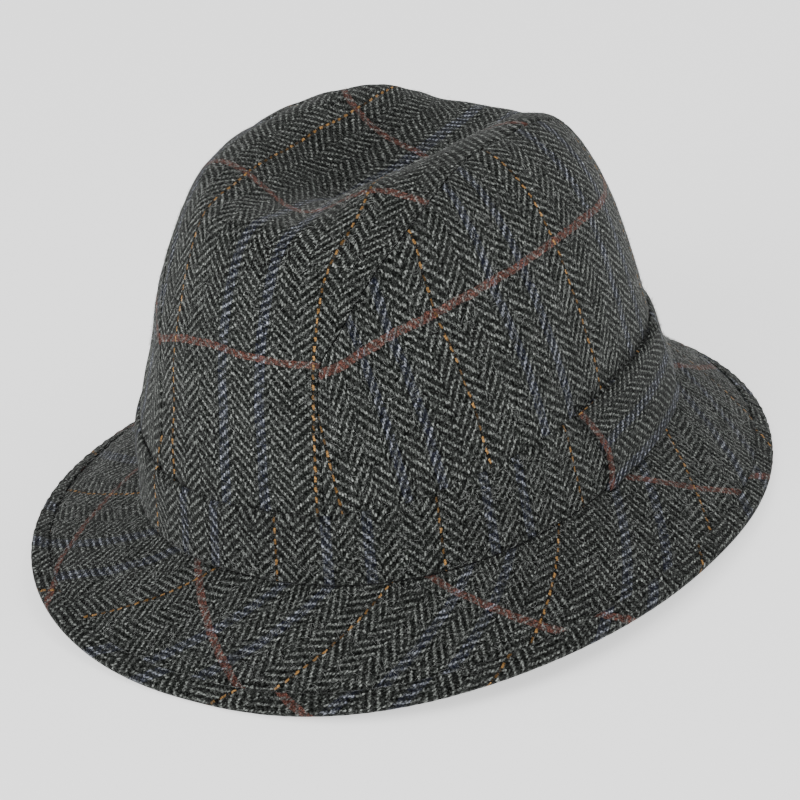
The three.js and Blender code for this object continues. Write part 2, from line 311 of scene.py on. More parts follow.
def binding_outline(length):
    """Corners of the plain binding's section, as distances down the slope and heights off it."""
    start, fold = length - BINDING_WIDTH, length - BINDING_CLOTH
    over, under = PRESSED_TOP + GAP, PRESSED_UNDER - GAP
    top, bottom = over + BINDING_CLOTH, under - BINDING_CLOTH
    nose = BINDING_NOSE
    return [(start, top), (start, over), (fold, over), (fold, under), (start, under), (start, bottom),
            (length - nose, bottom), (length - nose / 3, bottom + nose / 2), (length, (top + bottom) / 2),
            (length - nose / 3, top - nose / 2), (length - nose, top)]


REST_HEIGHT, MIDDLE = lay_down()


def settled(point):
    """Where a point of the hat lies, in metres; cloth that would go through the floor is flattened."""
    x, y, z = np.moveaxis(tipped(point), -1, 0)
    return np.stack([x, y - MIDDLE, np.maximum(z + REST_HEIGHT, 0)], axis=-1) * MM


# Meshes
def placed(name, data):
    """New object in the scene."""
    made = bpy.data.objects.new(name, data)
    bpy.context.scene.collection.objects.link(made)
    return made


def surface(name, points, cloth, faces_rows, faces_columns, caps=False):
    """Mesh from a grid of points and a grid of cloth places. A direction closes on itself where the cloth
    grid has one more row or column than the points; caps closes the first and last row."""
    rows, columns = points.shape[:2]
    i, j = np.meshgrid(np.arange(faces_rows), np.arange(faces_columns), indexing="ij")
    corners = [(i, j), (i + 1, j), (i + 1, j + 1), (i, j + 1)]
    faces = np.stack([(a % rows) * columns + b % columns for a, b in corners], axis=-1).reshape(-1, 4)
    places = np.stack([cloth[a, b] for a, b in corners], axis=-2).reshape(-1, 4, 2)
    if caps:
        half = columns // 2
        k = np.arange(half - 1)
        for row, order in ((0, (0, 1, 2, 3)), (rows - 1, (3, 2, 1, 0))):
            cap = np.stack([k, k + 1, columns - 2 - k, columns - 1 - k], axis=-1)[:, order]
            faces = np.concatenate([faces, row * columns + cap])
            places = np.concatenate([places, cloth[row, cap]])
    flat = settled(points).reshape(-1, 3)
    a, b, c, d = (flat[faces[:, corner]] for corner in range(4))
    volume = np.einsum("ij,ij->i", a, np.cross(b, c) + np.cross(c, d)).sum()
    if volume < 0:
        faces, places = faces[:, ::-1], places[:, ::-1]
    mesh = bpy.data.meshes.new(name)
    mesh.from_pydata(flat, [], faces)
    layer = mesh.uv_layers.new(name="cloth")
    layer.data.foreach_set("uv", places.reshape(-1).astype(np.float32))
    work = bmesh.new()
    work.from_mesh(mesh)
    bmesh.ops.remove_doubles(work, verts=work.verts, dist=SAME_POINT)
    bmesh.ops.dissolve_degenerate(work, edges=work.edges, dist=NO_LENGTH)
    work.to_mesh(mesh)
    work.free()
    mesh.polygons.foreach_set("use_smooth", np.ones(len(mesh.polygons), bool))
    return placed(name, mesh)


def shell(name, outer, inner, cloth, lap=None):
    """Sheet of cloth between an outer and an inner grid: its section runs out along one and back along
    the other. A lap, of two more grids, gives the places where the edges step aside half way through."""
    if lap:
        lip, tongue = lap
        outer = np.concatenate([lip[:, :1], outer, lip[:, -1:]], axis=1)
        inner = np.concatenate([tongue[:, :1], inner, tongue[:, -1:]], axis=1)
        cloth = np.concatenate([cloth[:, :1], cloth, cloth[:, -1:]], axis=1)
    section = np.concatenate([outer, inner[:, ::-1]], axis=1)
    places = np.concatenate([cloth, cloth[:, ::-1], cloth[:, :1]], axis=1)
    return surface(name, section, places, section.shape[0] - 1, section.shape[1], caps=True)


def ring(name, points, cloth):
    """Tube of cloth round the hat from a grid of turns and section places; both directions close."""
    return surface(name, points, cloth, points.shape[0], points.shape[1])


# Crown panels
def crown_cloths(outer_place, inner_place, step_down, seam_distance, hidden):
    """Outer and inner faces of a panel, and the lap: at a seam the inner half of the centre strip reaches
    under the outer half of the side panel, so that no light shows through."""
    point, normal, per_across = disc_frame(*outer_place)
    relief = crown_relief(point, seam_distance(per_across)) * (1 - hidden)
    under, under_normal, _ = disc_frame(*inner_place)
    lap = point - normal * step_down, under - under_normal * step_down
    return point + normal * relief[..., None], under - under_normal * CROWN_CLOTH, lap


# How the cloth of the centre strip lies, by place along it: pushed aside, stretched across and arched
CENTRE_CLOTH = dict(
    along=[-1.0, -0.65, -0.4, -0.3, -0.2, -0.04, 0.2, 1.0],
    aside=[0.2, 0.2, -7.3, -9.3, -6.0, -0.9, 0.0, 0.0],
    stretch=[0.97, 0.97, 1.1, 1.12, 1.07, 1.0, 1.0, 1.0],
    arch_right=[0.0043, 0.0043, 0.006, 0.0085, 0.0085, 0.0085, 0.0055, 0.0024])
AMBER_FROM_MIDDLE = 33.0
RED_UP_FRONT = 85.0
ARCH_LEFT = 0.0024
WALK_EVENS_OUT = (0.2, 0.55)
# Where the crease pushes the weft lines of the centre strip along the cloth, in millimetres
CREASE_PUSHES = (
    dict(place=-0.28, length=0.2, across=12.0, spread=14.0, push=11.0),
    dict(place=0.16, length=0.2, across=-3.0, spread=9.5, push=-13.0))
SIDE_ARCH = dict(height=27.2, from_front=132.0, middle=19.0, power=1.5)
RED_UP_SIDE = dict(left=90.5, right=82.0)
AMBER_ALONG_SIDE = dict(left=4.0, right=-94.0)
TURNS_WITH_WALL = (62.0, 92.0)
FRONT_LEAN = dict(share=0.2, from_y=64.0, full_y=94.0, pivot=28.0)
TOP_LEAN = dict(share=0.24, from_y=5.0, full_y=50.0, above=82.0)


def centre_cloth_places(outer, places, x):
    """Cloth of the centre strip: u across from its middle line, v along from the front foot, arched."""
    across = travelled(outer, 1)
    middle = np.array([np.interp(0, row_x, row) for row_x, row in zip(x, across)])
    aside = along_table(CENTRE_CLOTH, "along", "aside", places)[:, None]
    stretch = along_table(CENTRE_CLOTH, "along", "stretch", places)[:, None]
    s = across - middle[:, None]
    arch_right = along_table(CENTRE_CLOTH, "along", "arch_right", places)[:, None]
    walk = travelled(outer, 0)
    middle_walk = walk[:, walk.shape[1] // 2, None]
    walk = walk + (middle_walk - walk) * smooth_step(places, *WALK_EVENS_OUT)[:, None]
    v = walk + np.where(s < 0, arch_right, ARCH_LEFT) * s * s - RED_UP_FRONT
    for crease in CREASE_PUSHES:
        from_place = ((places - crease["place"]) / crease["length"])[:, None]
        from_line = (s - crease["across"]) / crease["spread"]
        v = v + crease["push"] * np.exp(-(from_place ** 2 + from_line ** 2) / 2)
    return np.stack([s * stretch + aside + AMBER_FROM_MIDDLE, v], axis=-1)


def crown_centre(rows=250, columns=90):
    places = np.linspace(-HEM_SPREAD, HEM_SPREAD, rows + 1)
    right = -seam_at("right", places) + SEAM_GAP
    left = seam_at("left", places) - SEAM_GAP
    share = dense_ends(columns)[None, :]
    across = right[:, None] * (1 - share) + left[:, None] * share
    x, y = disc_place(across, places[:, None])
    under_across = across + SEAM_LAP / FOOT_MEAN * (2 * share - 1)
    hidden = smooth_step(np.abs(places), 1.0, HEM_SPREAD)[:, None]

    def to_seam(per_across):
        return np.minimum(across - right[:, None], left[:, None] - across) * per_across
    outer, inner, lap = crown_cloths(
        (x, y), disc_place(under_across, places[:, None]), (CROWN_CLOTH + GAP) / 2, to_seam, hidden)
    return shell("crown_centre_cloth", outer, inner, centre_cloth_places(outer, places, x), lap)


HALF_FOOT_TURN = np.linspace(-math.pi / 2, math.pi / 2, 2001)
HALF_FOOT = np.stack(oval(HALF_FOOT_TURN, 0), axis=-1)
HALF_FOOT_RUN = travelled(HALF_FOOT, 0)


def run_at(y):
    """Distance round the foot from the front to where one side of the oval passes y."""
    return np.interp(y, HALF_FOOT[:, 1], HALF_FOOT_RUN)


def side_cloth_places(name, point, x, y):
    """Cloth of a side panel: warp lines are upright planes across the hat, turning with the wall and
    leaning near the front, and weft lines lie at a height walked up the wall, arched to the ends."""
    turned = oval(np.arctan2(y, x), 0)[1]
    share = smooth_step(np.abs(point[..., 1]), *TURNS_WITH_WALL)
    along = run_at(point[..., 1]) * (1 - share) + run_at(turned) * share
    up = (1 - np.hypot(x, y)) * WALL_RUN
    lean = FRONT_LEAN["share"] * smooth_step(-point[..., 1], FRONT_LEAN["from_y"], FRONT_LEAN["full_y"])
    top_lean = TOP_LEAN["share"] * smooth_step(-point[..., 1], TOP_LEAN["from_y"], TOP_LEAN["full_y"])
    leaning = lean * (up - FRONT_LEAN["pivot"]) - top_lean * np.maximum(up - TOP_LEAN["above"], 0)
    u = along - run_at(AMBER_ALONG_SIDE[name]) + leaning
    from_middle = np.abs(along - run_at(SIDE_ARCH["middle"])) / SIDE_ARCH["from_front"]
    arch = SIDE_ARCH["height"] * from_middle ** SIDE_ARCH["power"]
    v = up + arch - RED_UP_SIDE[name]
    return np.stack([u, v], axis=-1)


LEAST_RIM = 0.01


def crown_side(side, rows=210, columns=80):
    name = "left" if side > 0 else "right"
    share = np.linspace(0, 1, rows + 1)[:, None]
    along = -HEM_SPREAD + 2 * HEM_SPREAD * share
    up = dense_ends(columns)[None, :]

    def spread_between(seam_x, seam_y):
        """Disc places from the foot, by even turns, up to the seam."""
        turns = np.arctan2(seam_y, seam_x)
        turn = turns[0] + (turns[-1] - turns[0]) * share
        return (np.cos(turn) * HEM_SPREAD * (1 - up) + seam_x * up,
                np.sin(turn) * HEM_SPREAD * (1 - up) + seam_y * up)
    edge = seam_at(name, along) + SEAM_GAP
    x, y = spread_between(*disc_place(edge, along))
    under_x, under_y = spread_between(*disc_place(edge + SEAM_LAP / FOOT_MEAN, along))
    hidden = smooth_step(np.hypot(x, y), 1.0, HEM_SPREAD)

    def to_seam(per_across):
        rim = np.sqrt(np.maximum(1 - x * x, LEAST_RIM))
        return np.maximum(x - seam_at(name, np.clip(y / rim, -1, 1)) - SEAM_GAP, 0) * per_across
    outer, inner, lap = crown_cloths(
        (side * x, y), (side * under_x, under_y), (CROWN_CLOTH - GAP) / 2, to_seam, hidden)
    return shell("crown_%s_cloth" % name, outer, inner, side_cloth_places(name, outer, x, y), lap)


# Brim, binding, band and tab
TURN_OF_FRONT = -math.pi / 2
TURN_OF_BACK = TURN_OF_FRONT - math.pi
BRIM_RUN_OUT = 22.0
BRIM_LUMPS_FULL = 0.12

# Where the amber and the rust lines cross the brim's bias, in millimetres, and each line's number
BRIM_AMBER = dict(at=[-127.8, -67.3, -11.0, 45.7, 101.8, 164.0, 224.5], line=[-1, 0, 1, 2, 3, 4, 5])
BRIM_RUST = dict(at=[-159.5, -85.6, -19.8, 57.0, 133.0, 200.0, 274.0], line=[-1, 0, 1, 2, 3, 4, 5])
BINDING_AMBER = 10.7
BINDING_RUST = 18.7


def turns_round(steps):
    """Turns from the hat's back, where each strip is joined, once round to the back again."""
    return np.linspace(TURN_OF_BACK, TURN_OF_BACK + 2 * math.pi, steps + 1)


def run_round(turn, let_out):
    """Distance round an oval from the front of the hat, growing with the turn."""
    fine = np.linspace(TURN_OF_BACK - math.pi / 2, TURN_OF_BACK + 5 * math.pi / 2, 6001)
    x, y = oval(fine, let_out)
    run = travelled(np.stack([x, y], axis=-1), 0)
    return np.interp(turn, fine, run) - np.interp(TURN_OF_FRONT, fine, run)


def bias(along, down):
    """Places along the two threads of a strip cut on the bias, each at half a right angle to its edge."""
    return (along + down) / math.sqrt(2), (along - down) / math.sqrt(2)


def through_lines(value, table, pitch):
    """Cloth place with the check's lines where the table says, and plain millimetres past its ends."""
    at, line = np.array(table["at"]), np.array(table["line"], float)
    inside = np.interp(value, at, line * pitch)
    return inside + np.minimum(value - at[0], 0) + np.maximum(value - at[-1], 0)


def brim_cloth(turns=440, steps=46):
    """Brim: shelf under the band, the slope with soft lumps, and the edge pressed thin under the binding."""
    turn = turns_round(turns)[:, None]
    length = brim_line(turn)[2]
    end = length - BINDING_CLOTH - GAP
    bound = length - BINDING_WIDTH - GAP
    share = np.linspace(0, 1, steps)[None, :]
    down = (bound - PRESSED_RUN) * share
    lump = lumps(brim_point(turn, down, 0), BRIM_LUMPS) * smooth_step(share, 0, BRIM_LUMPS_FULL)
    upper = brim_point(turn, down, lump)
    lower = brim_point(turn, down, -BRIM_CLOTH + lump)
    corners = ((bound, PRESSED_TOP), (end, PRESSED_TOP), (end, PRESSED_UNDER), (bound, PRESSED_UNDER))
    edge = [brim_point(turn, place, off) for place, off in corners]
    under, top = (np.stack([*oval(turn, GAP), 0 * turn + z], axis=-1) for z in (-BRIM_CLOTH, 0))
    section = np.concatenate([top, upper, *edge, lower[:, ::-1], under], axis=1)[:-1]
    shelf = 0 * end - BRIM_SHELF
    walk = np.concatenate([shelf, down, bound, end, end + 1, bound, down[:, ::-1], shelf, shelf], axis=1)
    warp, weft = bias(run_round(turn, BRIM_RUN_OUT) + 0 * walk, walk)
    places = (through_lines(warp, BRIM_AMBER, WARP_CHECK), through_lines(weft, BRIM_RUST, WEFT_CHECK))
    return ring("brim_cloth", section, np.stack(places, axis=-1))


BINDING_RISE = dict(at_stitches=0.45, full=0.95)
BINDING_FOLD = dict(depth=0.35, share=0.08)
SLOT_SLACK = 0.01
BINDING_PUCKERS = (dict(height=0.05, length=3.7, shift=0.0), dict(height=0.06, length=6.1, shift=1.0))


def waves(run, kinds):
    """Sum of sine waves along a run, each with its height, length and shift."""
    return sum(kind["height"] * np.sin(run / kind["length"] + kind["shift"]) for kind in kinds)


def rounded(share, fold):
    """A quarter round, from 0 at an edge to 1 where its fold ends."""
    return np.sqrt(np.clip(1 - np.clip((fold - share) / fold, 0, 1) ** 2, 0, 1))


def binding_outline_fine(steps=16, nose_steps=10):
    """Section of the binding as distances from the edge and heights off the slope: thin at its stitches,
    swelling towards the edge, half an ellipse round it, the same below, and the slot for the brim."""
    middle = -BRIM_CLOTH / 2
    share = np.linspace(0, 1, steps, endpoint=False)
    low, full = BINDING_RISE["at_stitches"], BINDING_RISE["full"]
    swell = low + (full - low) * np.sqrt(share)
    round_in = BINDING_FOLD["depth"] * np.clip(1 - share / BINDING_FOLD["share"], 0, 1) ** 2
    top = np.stack([-BINDING_WIDTH + (BINDING_WIDTH - BINDING_NOSE) * share, swell - round_in], axis=-1)
    angle = np.linspace(math.pi / 2, -math.pi / 2, nose_steps)
    half = full - middle
    nose = np.stack([-BINDING_NOSE + BINDING_NOSE * np.cos(angle), middle + half * np.sin(angle)], axis=-1)
    bottom = top[::-1] * (1, -1) + (0, 2 * middle)
    over, under, fold = PRESSED_TOP + GAP, PRESSED_UNDER - GAP, -BINDING_CLOTH
    slot = np.array([(-BINDING_WIDTH, under), (fold, under), (fold, over), (-BINDING_WIDTH, over)])
    return np.concatenate([top, nose, bottom, slot])


def binding_cloth(turns=720):
    """Binding: a strip folded over the brim's edge, a little puckered by its stitches."""
    turn = turns_round(turns)[:, None]
    length = brim_line(turn)[2]
    plain = binding_outline_fine()
    run = run_round(turn, BRIM_RUN_OUT)
    middle = -BRIM_CLOTH / 2
    pucker = 1 + waves(run * 2 * math.pi, BINDING_PUCKERS)
    outside = np.abs(plain[:, 1] - middle) > PRESSED_EDGE / 2 + GAP + SLOT_SLACK
    off = middle + (plain[None, :, 1] - middle) * np.where(outside, pucker, 1)
    section = brim_point(turn, length + plain[None, :, 0], off)[:-1]
    walk = travelled(np.vstack([plain, plain[:1]]), 0)[None, :]
    warp, weft = bias(run + 0 * walk, walk)
    return ring("binding_cloth", section, np.stack([warp - BINDING_AMBER, weft - BINDING_RUST], axis=-1))


def spread_at_height(turn, height):
    """Spread at which the wall passes a height, found by halving between the top's rim and the foot."""
    shape = np.broadcast(turn, height).shape
    low, high = np.full(shape, 0.5), np.ones(shape)
    for _ in range(22):
        halfway = (low + high) / 2
        above = crown_point(halfway, turn)[..., 2] > height
        low, high = np.where(above, halfway, low), np.where(above, high, halfway)
    return high


def band_point(turn, up, off, extra_height=0.0):
    """Point outside the wall at a share of the band's height, let out past the cloth below it."""
    top = BAND_HEIGHT["mean"] + BAND_HEIGHT["side"] * np.cos(2 * turn) + extra_height
    height = GAP * (1 - up) + top * up
    wall = crown_point(spread_at_height(turn, height), turn)
    foot_x, foot_y = oval(turn, 0)
    out_x, out_y = oval(turn, off + BAND_FLARE * (1 - up) ** 2)
    x, y = wall[..., 0] + out_x - foot_x, wall[..., 1] + out_y - foot_y
    return np.stack([x, y, height + 0 * x], axis=-1)


AMBER_ON_BAND = 14.0
RUST_ON_BAND = 45
BAND_TAPER = 0.16
BAND_FOLD = 0.04
BAND_RUN_OUT = 3
BAND_SLACK = (dict(height=0.12, length=9.0, shift=0.0), dict(height=0.12, length=15.7, shift=2.0),
              dict(height=0.06, length=3.7, shift=0.0))
BAND_EDGE = (dict(height=0.012, length=13.0, shift=1.0), dict(height=0.008, length=6.1, shift=0.0))


def hatband(turns=560, steps=34):
    turn = turns_round(turns)[:, None]
    share = dense_ends(steps - 1)[None, :]
    thick = BAND_CLOTH * rounded(1 - share, BAND_TAPER) * rounded(share, BAND_FOLD)
    run = run_round(turn, BAND_RUN_OUT)
    slack = np.maximum(waves(run, BAND_SLACK), 0) * share ** 2
    slack = slack + side_swell(*np.moveaxis(band_point(turn, share, 0), -1, 0))
    up = share * (1 + waves(run, BAND_EDGE) * share)
    outer = band_point(turn, up, GAP + thick + slack)
    inner = band_point(turn, up, GAP + slack)
    section = np.concatenate([inner[:, ::-1], outer], axis=1)[:-1]
    height = share * (BAND_HEIGHT["mean"] + BAND_HEIGHT["side"] * np.cos(2 * turn))
    places = np.stack([AMBER_ON_BAND - run + 0 * height, height - RUST_ON_BAND], axis=-1)
    places = np.concatenate([places[:, ::-1], places, places[:, -1:]], axis=1)
    return ring("hatband_cloth", section, places)


TAB_FOLD = dict(share=0.03, at_end=2.2)
TAB_LIFT = dict(end=0.5, from_share=0.85, wave=0.2, waves=17, under=0.6)
TAB_LEAST = 0.05
TAB_CHECK = dict(warp=1.0, weft=1.3, leans=0.08)


def hatband_tab(rows=150, columns=60):
    """Tab over the band: its end is notched, its edges fold round and its far end runs flat."""
    along = dense_ends(rows)[:, None]
    up = dense_ends(columns)[None, :]
    start = along_table(TAB_END, "up", "turn", up)
    turn = np.radians(start * (1 - along) + TAB_END_TURN * along)
    rounding = 1
    for share in (up, 1 - up, along * TAB_FOLD["at_end"]):
        rounding = rounding * rounded(share, TAB_FOLD["share"])
    base = GAP + BAND_CLOTH + GAP
    wave = TAB_LIFT["wave"] * np.sin(along * TAB_LIFT["waves"]) * (1 - along)
    lift = np.maximum(TAB_LIFT["end"] * smooth_step(1 - along, TAB_LIFT["from_share"], 1) + wave, 0)
    outer = band_point(turn, up, base + TAB_LEAST + (TAB_CLOTH + lift) * rounding, TAB_RISE)
    inner = band_point(turn, up, base + lift * TAB_LIFT["under"] * rounding, TAB_RISE)
    run = travelled(outer, 0)
    rise = travelled(outer, 1)
    warp = rise - rise[:, -1:] + TAB_CHECK["warp"] - TAB_CHECK["leans"] * run
    places = np.stack([warp, run - TAB_CHECK["weft"]], axis=-1)
    return shell("tab_cloth", outer, inner, places)


# Materials
class Value:
    """A number that changes over the cloth; its operators add Math nodes."""

    def __init__(self, finish, socket):
        self.finish = finish
        self.socket = socket

    def maths(self, operation, *others):
        made = self.finish.node("ShaderNodeMath", {"operation": operation}, dict(enumerate((self, *others))))
        return Value(self.finish, made.outputs[0])

    def reversed_maths(self, operation, other):
        made = self.finish.node("ShaderNodeMath", {"operation": operation}, {0: other, 1: self})
        return Value(self.finish, made.outputs[0])

    def __add__(self, other):
        return self.maths("ADD", other)

    def __sub__(self, other):
        return self.maths("SUBTRACT", other)

    def __rsub__(self, other):
        return self.reversed_maths("SUBTRACT", other)

    def __mul__(self, other):
        return self.maths("MULTIPLY", other)

    def __truediv__(self, other):
        return self.maths("DIVIDE", other)

    def __pow__(self, other):
        return self.maths("POWER", other)

    def __mod__(self, other):
        return self.maths("FLOORED_MODULO", other)

    def __lt__(self, other):
        return self.maths("LESS_THAN", other)

    def __gt__(self, other):
        return self.maths("GREATER_THAN", other)

    __radd__ = __add__
    __rmul__ = __mul__

    def floor(self):
        return self.maths("FLOOR")

    def size(self):
        return self.maths("ABSOLUTE")

    def least(self, other):
        return self.maths("MINIMUM", other)

    def most(self, other):
        return self.maths("MAXIMUM", other)

    def held(self):
        return self.most(0).least(1)

    def between(self, low, high):
        """0 below low and 1 above high, smooth between them."""
        settings = {"interpolation_type": "SMOOTHSTEP"}
        sockets = {"Value": self, "From Min": low, "From Max": high}
        made = self.finish.node("ShaderNodeMapRange", settings, sockets)
        return Value(self.finish, made.outputs[0])


class Finish:
    """A material of the hat, joined up node by node."""

    def __init__(self, name):
        self.material = bpy.data.materials.new(name)
        self.material.use_nodes = True
        self.tree = self.material.node_tree
        self.shader = self.tree.nodes["Principled BSDF"]

    def node(self, kind, settings, sockets):
        made = self.tree.nodes.new(kind)
        for name, value in settings.items():
            setattr(made, name, value)
        for key, value in sockets.items():
            socket = made.inputs[key]
            if isinstance(value, Value):
                self.tree.links.new(value.socket, socket)
            elif isinstance(value, bpy.types.NodeSocket):
                self.tree.links.new(value, socket)
            else:
                socket.default_value = value
        return made

    def cloth_place(self):
        uv = self.node("ShaderNodeUVMap", {"uv_map": "cloth"}, {})
        parts = self.node("ShaderNodeSeparateXYZ", {}, {0: uv.outputs[0]})
        return Value(self, parts.outputs[0]), Value(self, parts.outputs[1])

    def place(self, x, y, z):
        return self.node("ShaderNodeCombineXYZ", {}, {0: x, 1: y, 2: z}).outputs[0]

    def noise(self, place, scale, detail, distortion):
        sockets = {"Vector": place, "Scale": scale, "Detail": detail, "Distortion": distortion}
        made = self.node("ShaderNodeTexNoise", {}, sockets)
        return Value(self, made.outputs[0])

    def chance(self, x, y, z):
        settings = {"noise_dimensions": "3D"}
        made = self.node("ShaderNodeTexWhiteNoise", settings, {"Vector": self.place(x, y, z)})
        return Value(self, made.outputs[0])

    def mix(self, share, first, second):
        made = self.node("ShaderNodeMix", {"data_type": "RGBA"}, {0: share, 6: first, 7: second})
        return made.outputs[2]

    def shaded(self, colour, amount):
        """Colour times a changing number."""
        colour = colour[:3] if isinstance(colour, tuple) else colour
        made = self.node("ShaderNodeVectorMath", {"operation": "SCALE"}, {0: colour, 3: amount})
        return made.outputs[0]

    def constant(self, **values):
        for name, value in values.items():
            self.shader.inputs[name.replace("_", " ")].default_value = value


PALE_YARN = (0.20, 0.213, 0.20, 1)
DARK_YARN = (0.011, 0.0125, 0.011, 1)
SLATE_YARN = (0.204, 0.218, 0.26, 1)
NAVY_YARN = (0.014, 0.0165, 0.038, 1)
AMBER_YARN = (0.44, 0.235, 0.078, 1)
RUST_YARN = (0.108, 0.042, 0.032, 1)
WOOL_COLOUR = (0.36, 0.37, 0.36)
HAZE_COLOUR = (0.062, 0.066, 0.062, 1)
STRAY_COLOUR = (0.24, 0.25, 0.24, 1)

# Lines of the check, in ends and picks, and how far the threads wander, in millimetres
SLATE_HALF_WIDTH = 2.1
RUST_PICKS = 3.5
WANDER = 1.6
WOBBLE = 1.1

# Noises over the cloth: each in a layer of its own, its scale, detail and twist, and where it fades in
NOISES = dict(
    wander=dict(layer=0.0, scale=0.11, detail=1),
    wobble_u=dict(layer=3.0, scale=0.9, detail=2),
    wobble_v=dict(layer=7.0, scale=0.9, detail=2),
    grain=dict(layer=1.0, scale=1.1, detail=2, fades=(0.3, 0.7), squash=0.8),
    fleck=dict(layer=5.0, scale=1.8, detail=1, fades=(0.3, 0.7)),
    speck=dict(layer=9.0, scale=1.9, detail=2, fades=(0.3, 0.72)),
    salt=dict(layer=31.0, scale=1.25, detail=1, fades=(0.3, 0.7)),
    broad=dict(layer=0.0, scale=0.035, detail=2),
    cloud=dict(layer=29.0, scale=0.14, detail=2),
    haze=dict(layer=11.0, scale=0.45, detail=3, twist=1.0, fades=(0.4, 0.75)),
    curl=dict(layer=17.0, scale=0.42, detail=2, twist=2.2),
    sparse=dict(layer=23.0, scale=0.3, detail=1, fades=(0.5, 0.62)))
CHANCE_LAYER = 2.0
DOT_LAYER = 5.0

# Shape of a yarn where it floats over others: how it arches and leans, and how low the weft lies
FLOAT = dict(arch=0.7, ends=0.3, lean=0.35)
WEFT_DEPTH = 0.75
RELIEF = dict(grain=0.35, stray=0.4, depth=0.00028)

# Light and share of each yarn: for each value, the least and how much the value adds
PALE_LIGHT = dict(grain=(0.1, 1.45), fleck=(0.35, 1.15), chance=(0.45, 1.1), slate=(1, 0.18))
AMBER_LIGHT = dict(fleck=(0.4, 1.0), dot=(0.12, 1.15))
RUST_LIGHT = dict(fleck=(0.3, 1.9), chance=(0.4, 1.3))
RUST_FUZZ_LIGHT = dict(fleck=(0.4, 1.2))
CLOTH_LIGHT = dict(broad=(0.8, 0.4), cloud=(0.7, 0.6))
SLATE_SHARE = dict(chance=(0.35, 0.65))
RUST_SHARE = dict(speck=(0.25, 0.75))
RUST_FUZZ = 0.3
NAVY_SHARE = 0.5
DARK_LIGHT = dict(least=0.2, adds=5.5, grain=(0.2, 1.0))
WARP_COVER = dict(height=(0.35, 0.95), share=0.95, salt=0.5, less=0.06, amber=(0.1, 0.45))
HAZE = dict(least=0.01, adds=0.25)
STRAY = dict(width=(0.006, 0.02), cover=0.5)


def scaled(start, table, values):
    """A start times, for each row of a table, its least plus what its value adds."""
    for key, (least, adds) in table.items():
        start = start * (least + adds * values[key])
    return start


def noises_over(cloth, u, v):
    """The table's noises at a place of the cloth, by name."""
    made = {}
    for name, kind in NOISES.items():
        along = v * kind["squash"] if "squash" in kind else v
        place = cloth.place(u, along, kind["layer"])
        noise = cloth.noise(place, kind["scale"], kind["detail"], kind.get("twist", 0.0))
        made[name] = noise.between(*kind["fades"]) if "fades" in kind else noise
    return made


def yarn_height(side, run):
    """Height of a yarn, round across its width and arched along its float."""
    side = side.size() * 2
    round_across = (1 - side * side).held()
    arch = (1 - (run * 2 - 1) ** 2).held()
    return (round_across * (arch * FLOAT["arch"] + FLOAT["ends"])) ** 0.5


def herringbone(u, v, noises):
    """The weave: numbers of end and pick, whether the warp is on top, and the heights of both yarns."""
    across = (u + (noises["wobble_u"] - 0.5) * WOBBLE) / END
    along = (v + (noises["wobble_v"] - 0.5) * WOBBLE + (noises["wander"] - 0.5) * WANDER) / PICK
    end, pick = across.floor(), along.floor()
    in_end, in_pick = across - end, along - pick
    place_in_pair = end % (2 * COLUMN_ENDS)
    back = place_in_pair > (COLUMN_ENDS - 0.5)
    step = place_in_pair * (1 - back) + ((2 * COLUMN_ENDS + 1) - place_in_pair) * back
    phase = (pick + step) % REPEAT_PICKS
    warp_run = (phase + in_pick) / 2
    lean = (warp_run - 0.5) * FLOAT["lean"] * (1 - 2 * back)
    weft_run = ((phase - 2) + in_end * (1 - back) + (1 - in_end) * back) / 2
    return dict(end=end, pick=pick, along=along, warp_up=phase < 1.5,
                warp=yarn_height(in_end - 0.5 + lean, warp_run),
                weft=yarn_height(in_pick - 0.5, weft_run) * WEFT_DEPTH)


def check_lines(end, pick):
    """Where the amber, slate and rust lines of the check run."""
    check_end = end % (WARP_CHECK / END)
    slate = 0
    for share in BLUE_PLACES:
        slate = slate + ((check_end - share * WARP_CHECK / END).size() < SLATE_HALF_WIDTH)
    rust = (pick % (WEFT_CHECK / PICK)) < RUST_PICKS - 0.5
    return check_end < 0.5, slate, rust


def warp_share(weave, amber, salt):
    """How much of the warp's colour shows at a place."""
    shows = weave["warp_up"] * weave["warp"].between(*WARP_COVER["height"])
    cover = (shows * WARP_COVER["share"] + (salt - 0.5) * WARP_COVER["salt"] - WARP_COVER["less"]).held()
    return cover.most(amber * weave["warp_up"] * weave["warp"].between(*WARP_COVER["amber"]))


